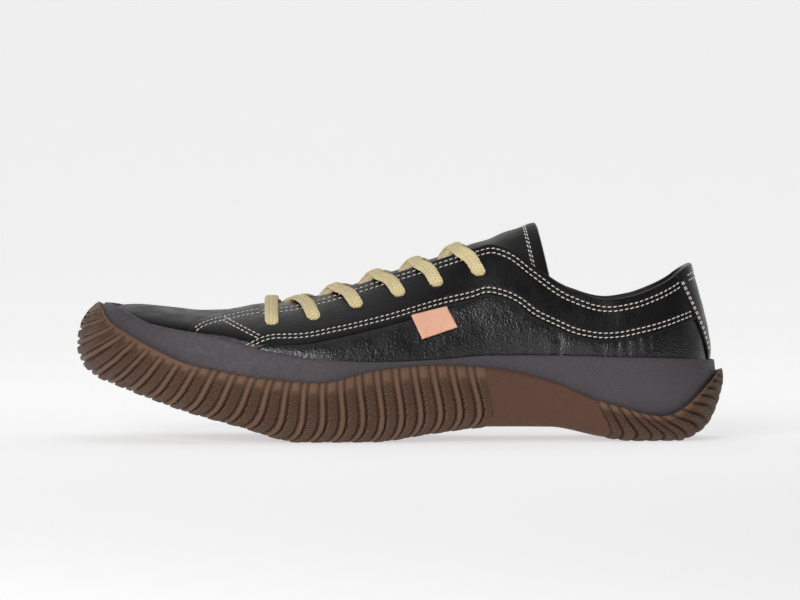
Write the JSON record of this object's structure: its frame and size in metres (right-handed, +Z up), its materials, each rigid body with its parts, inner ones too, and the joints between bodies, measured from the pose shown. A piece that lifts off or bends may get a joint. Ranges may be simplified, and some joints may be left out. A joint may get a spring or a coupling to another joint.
{
  "type": "leather sneaker",
  "caption": "Low black leather lace-up sneaker on a grey midsole and a ribbed rubber outsole that wraps up the toe and heel.",
  "frame": {"origin": "on the floor, under the middle of the shoe's box", "axes": "+X towards the heel and -X towards the toe, +Y towards the inner side of the foot, +Z up"},
  "size_m": [0.29, 0.105, 0.097],
  "materials": {
    "outsole_rubber": "matte moulded",
    "midsole_foam": "matte",
    "upper_leather": "fine grain, semi-gloss",
    "tongue_leather": "fine grain, semi-gloss",
    "insole_cloth": "matte",
    "lace_cotton": "flat weave",
    "tag_leather": "smooth"
  },
  "bodies": {
    "root": {"outsole": "outsole_rubber", "midsole": "midsole_foam", "upper": "upper_leather", "insole": "insole_cloth", "tongue": "tongue_leather", "lace_bar": "lace_cotton", "lace_cross_1": "lace_cotton", "lace_cross_2": "lace_cotton", "lace_cross_3": "lace_cotton", "lace_cross_4": "lace_cotton", "lace_cross_5": "lace_cotton", "side_tag": "tag_leather"}
  },
  "joints": []
}
